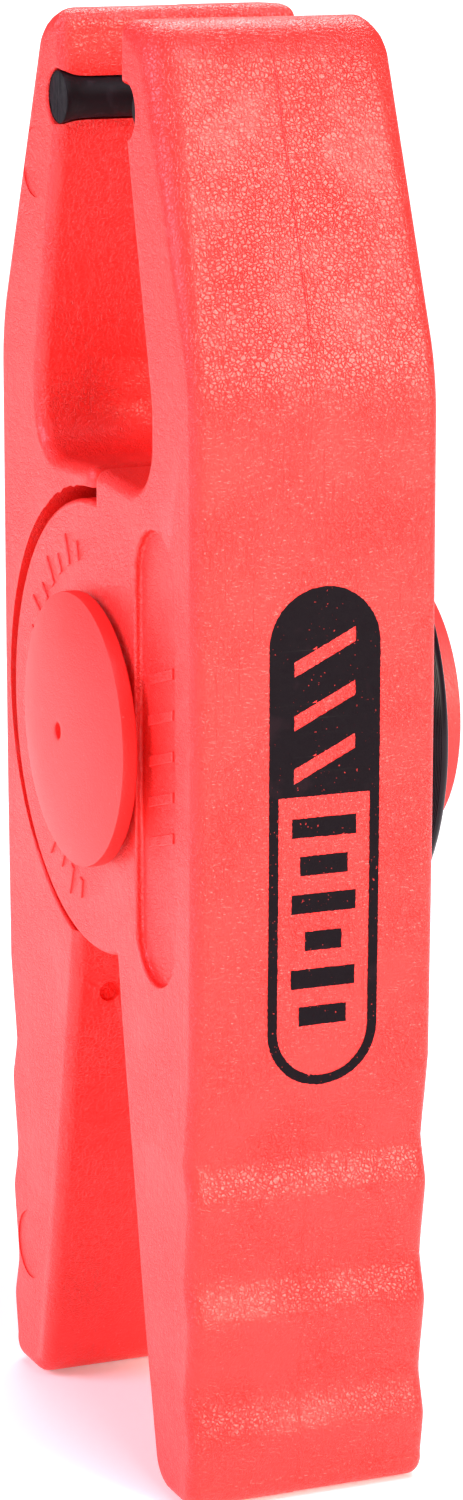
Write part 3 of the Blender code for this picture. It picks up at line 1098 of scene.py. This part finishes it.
def moulded_plastic(name, colour, roughness, grain):
    """Matt moulded plastic: fine grain, tiny light specks, a painted highlight on sharp edges and a few
    hairline marks.
    """
    n = Nodes(name)
    cloud = n.noise(45.0, 3.0)
    fine = n.noise(2300.0, 2.0)
    coarse = n.noise(820.0, 1.0)
    specks = n.span(n.noise(3600.0, 0.0), 0.80, 0.86)
    lines = n.span(n.noise(240.0, 1.0, stretch=(9.0, 9.0, 0.35)), 0.70, 0.74)
    # Painted highlight: sharp edges are mixed towards a paler red, standing in for light caught by the
    # rounds.
    edge_highlight = n.edges(0.545, 0.62)
    highlight_tone = tuple(min(1.0, c + 0.05) for c in colour)
    deeper = tuple(c * 0.9 for c in colour)
    base = n.mix(n.span(cloud, 0.3, 0.7), colour, deeper)
    base = n.mix(n.sum(edge_highlight, 0.55, "MULTIPLY"), base, highlight_tone)
    base = n.mix(n.sum(specks, 0.5, "MULTIPLY"), base, tuple(min(1.0, c + 0.12) for c in colour))
    n.put("Base Color", base)
    n.put("Roughness", n.span(cloud, 0.25, 0.75, roughness - 0.02, roughness + 0.03))
    warp = n.add("ShaderNodeTexNoise", {"Vector": n.place, "Scale": 900.0, "Detail": 2.0})
    pull = n.add(
        "ShaderNodeVectorMath", {0: warp.outputs["Color"], 1: (CREASE_PULL,) * 3}, operation="MULTIPLY"
    )
    bent = n.add("ShaderNodeVectorMath", {0: n.place, 1: pull.outputs[0]}, operation="ADD")
    cells = n.add(
        "ShaderNodeTexVoronoi", {"Vector": bent.outputs[0], "Scale": CREASE_SCALE},
        feature="DISTANCE_TO_EDGE",
    )
    creases = n.span(cells.outputs["Distance"], 0.0, 0.16)
    patchy = n.span(n.noise(130.0, 2.0), 0.35, 0.7, 0.25, 1.0)
    height = n.sum(n.sum(fine, 0.3, "MULTIPLY"), n.sum(coarse, 0.35, "MULTIPLY"))
    height = n.sum(height, n.sum(n.sum(creases, patchy, "MULTIPLY"), 0.3, "MULTIPLY"))
    height = n.sum(height, n.sum(lines, -0.25, "MULTIPLY"))
    n.bump(height, grain * MM)
    return n.material


def rubber(name):
    """Black rubber with a dusty bloom and streaks across the cut ends."""
    n = Nodes(name)
    cloud = n.noise(160.0, 3.0)
    streaks = n.noise(900.0, 2.0, stretch=(1.0, 1.6, 0.16))
    base = n.mix(n.span(cloud, 0.35, 0.75), (0.004, 0.0015, 0.003), (0.008, 0.004, 0.006))
    base = n.mix(n.span(streaks, 0.55, 0.8, 0.0, 0.6), base, (0.03, 0.02, 0.027))
    n.put("Base Color", base)
    n.put("Roughness", n.span(cloud, 0.3, 0.7, 0.5, 0.66))
    n.put("Specular IOR Level", 0.17)
    n.bump(streaks, 0.05 * MM)
    return n.material


def turned_black(name):
    """Smooth black plastic, lightly scuffed round the rim."""
    n = Nodes(name)
    cloud = n.noise(120.0, 3.0)
    hair = n.noise(500.0, 1.0, stretch=(8.0, 0.4, 0.4))
    base = n.mix(n.span(cloud, 0.35, 0.7), (0.004, 0.001, 0.003), (0.012, 0.005, 0.009))
    n.put("Specular IOR Level", 0.15)
    n.put("Base Color", base)
    n.put("Roughness", n.span(hair, 0.3, 0.75, 0.26, 0.42))
    n.bump(hair, 0.02 * MM)
    return n.material


def natural_plastic(name):
    n = Nodes(name)
    cloud = n.noise(90.0, 3.0)
    n.put("Base Color", n.mix(n.span(cloud, 0.3, 0.7), (0.78, 0.76, 0.70), (0.70, 0.67, 0.60)))
    n.put("Roughness", n.span(cloud, 0.3, 0.7, 0.42, 0.55))
    n.bump(n.noise(1500.0, 2.0), 0.03 * MM)
    return n.material


def drawn_steel(name, tone, roughness):
    n = Nodes(name)
    hair = n.noise(700.0, 2.0, stretch=(6.0, 1.0, 1.0))
    cloud = n.noise(110.0, 3.0)
    n.put("Base Color", n.mix(n.span(cloud, 0.35, 0.7), tone, tuple(c * 0.72 for c in tone)))
    n.put("Metallic", 1.0)
    n.put("Roughness", n.span(hair, 0.3, 0.7, roughness - 0.07, roughness + 0.12))
    n.bump(hair, 0.015 * MM)
    return n.material


def ink(name, under):
    """Flat printing ink that lets small points of the plastic show through."""
    n = Nodes(name)
    fleck = n.span(n.noise(3600.0, 1.0), 0.73, 0.77, 0.0, 0.5)
    thin = n.span(n.noise(300.0, 2.0), 0.62, 0.72, 0.0, 0.25)
    base = n.mix(thin, (0.004, 0.001, 0.003), (0.03, 0.01, 0.015))
    n.put("Base Color", n.mix(fleck, base, under))
    n.put("Specular IOR Level", 0.1)
    n.put("Roughness", n.span(n.noise(900.0, 2.0), 0.3, 0.7, 0.42, 0.6))
    n.bump(n.noise(1300.0, 2.0), 0.05 * MM)
    return n.material


def pale_floor(name):
    n = Nodes(name)
    n.put("Base Color", n.mix(n.noise(3.0, 2.0), (0.97, 0.97, 0.97), (0.955, 0.955, 0.955)))
    n.put("Roughness", 0.9)
    n.put("Specular IOR Level", 0.2)
    n.put("Emission Color", (1.0, 0.99, 0.97, 1.0))
    n.put("Emission Strength", FLOOR_GLOW)
    return n.material


# ---------------------------------------------------------------- scene

def add_camera():
    data = bpy.data.cameras.new("camera")
    data.sensor_width = 36.0
    data.lens = CAMERA_LENS
    data.clip_start = 0.01
    data.clip_end = 50.0
    camera = link(bpy.data.objects.new("camera", data))
    camera.location = CAMERA_AT
    camera.rotation_euler = CAMERA_LOOK.to_track_quat("-Z", "Y").to_euler()
    bpy.context.scene.camera = camera


def area_light(name, at, size, power, colour, target=LIGHT_TARGET):
    """A round soft light, its place and size in metres, turned to face its target."""
    data = bpy.data.lights.new(name, "AREA")
    data.shape = "DISK"
    data.size = size
    data.energy = power
    data.color = colour
    lamp = link(bpy.data.objects.new(name, data))
    lamp.location = at
    aim = Vector(target) - Vector(at)
    lamp.rotation_euler = aim.to_track_quat("-Z", "Y").to_euler()


def add_surroundings():
    world = bpy.data.worlds.new("studio")
    world.use_nodes = True
    world.node_tree.nodes["Background"].inputs["Color"].default_value = (1.0, 1.0, 1.0, 1.0)
    world.node_tree.nodes["Background"].inputs["Strength"].default_value = WORLD_STRENGTH
    bpy.context.scene.world = world
    bpy.context.scene.view_settings.view_transform = "Standard"

    area_light("left_soft", (-1.05, 0.12, 0.6), 0.8, 13.0, (0.82, 0.76, 1.0))
    area_light("front_soft", (0.48, -1.05, 0.53), 0.42, 14.5, (1.0, 0.96, 0.84))
    area_light("top_soft", (0.1, -0.6, 1.0), 0.5, 7.6, (0.94, 0.86, 1.0))
    area_light("fill_soft", (-0.7, -0.9, 0.25), 0.6, 2.6, (1.0, 0.76, 0.64))
    area_light("far_soft", (0.8, 1.9, 1.7), 1.6, 50.0, (1.0, 1.0, 1.0), (0.8, 1.7, 0.0))

    bm = bmesh.new()
    step = 2 * FLOOR_REACH / FLOOR_CELLS
    grid = [
        [
            bm.verts.new((i * step - FLOOR_REACH, k * step - FLOOR_REACH, 0.0))
            for k in range(FLOOR_CELLS + 1)
        ]
        for i in range(FLOOR_CELLS + 1)
    ]
    for i in range(FLOOR_CELLS):
        for k in range(FLOOR_CELLS):
            bm.faces.new((grid[i][k], grid[i + 1][k], grid[i + 1][k + 1], grid[i][k + 1]))
    floor = add_object("floor", bm)
    floor.data.materials.append(pale_floor("pale_floor"))
    floor.location.z = -FLOOR_DROP


def finish_piece(obj, body, node):
    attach(obj, body)
    if node:
        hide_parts(node)


def main():
    for obj in list(bpy.data.objects):
        bpy.data.objects.remove(obj, do_unlink=True)
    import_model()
    add_camera()
    add_surroundings()

    red = moulded_plastic("moulded_red", ARM_RED, ARM_ROUGHNESS, ARM_GRAIN)
    cap_red = moulded_plastic("moulded_cap_red", CAP_RED, CAP_ROUGHNESS, CAP_GRAIN)
    black_rubber = rubber("black_rubber")
    black_ink = ink("black_ink", UNDER_INK)

    front_arm, rear_arm = build_arms(red)
    finish_piece(front_arm, "front_lever", "front_arm")
    finish_piece(rear_arm, "rear_lever", "rear_arm")
    finish_piece(build_print(black_ink), "front_lever", None)

    front_cord = settle(add_object("front_cord", cord_solid()), black_rubber)
    finish_piece(front_cord, "front_lever", "front_jaw_cord")
    rear_cord = settle(add_object("rear_cord", cord_solid()), black_rubber, turned=True)
    finish_piece(rear_cord, "rear_lever", "rear_jaw_cord")

    pivot_pieces = [
        ("left_cap_dome", cap_solid(-1, LEFT_CAP_FOOT_X, LEFT_CAP_RIM, LEFT_CAP_HEIGHT),
         cap_red, "left_cap", "cap_plastic"),
        ("right_cap_dome", cap_solid(1, RIGHT_CAP_FOOT_X, RIGHT_CAP_RIM, RIGHT_CAP_HEIGHT),
         cap_red, "right_cap", "cap_plastic"),
        ("turned_collar", collar_solid(), turned_black("black_plastic"),
         "collar_ring", "collar_plastic"),
        ("hollow_axle", tube_solid(AXLE_LEFT_X, AXLE_RIGHT_X, AXLE_BORE_R, AXLE_R, 0.4, 96),
         drawn_steel("axle_metal", (0.62, 0.63, 0.65), 0.3), "pivot_axle", "axle_steel"),
        ("round_sleeve", tube_solid(-SLEEVE_HALF, SLEEVE_HALF, SLEEVE_IN_R, SLEEVE_OUT_R, 0.3, 96),
         natural_plastic("sleeve_nylon"), "spacer_sleeve", "sleeve_plastic"),
        ("wound_spring", spring_solid(),
         drawn_steel("spring_metal", (0.56, 0.57, 0.60), 0.32), "torsion_spring", "spring_steel"),
    ]
    for name, bm, finish, node, slot in pivot_pieces:
        piece = settle(add_object(name, bm), finish)
        finish_piece(piece, "rear_lever", node)

    bpy.context.view_layer.update()


main()
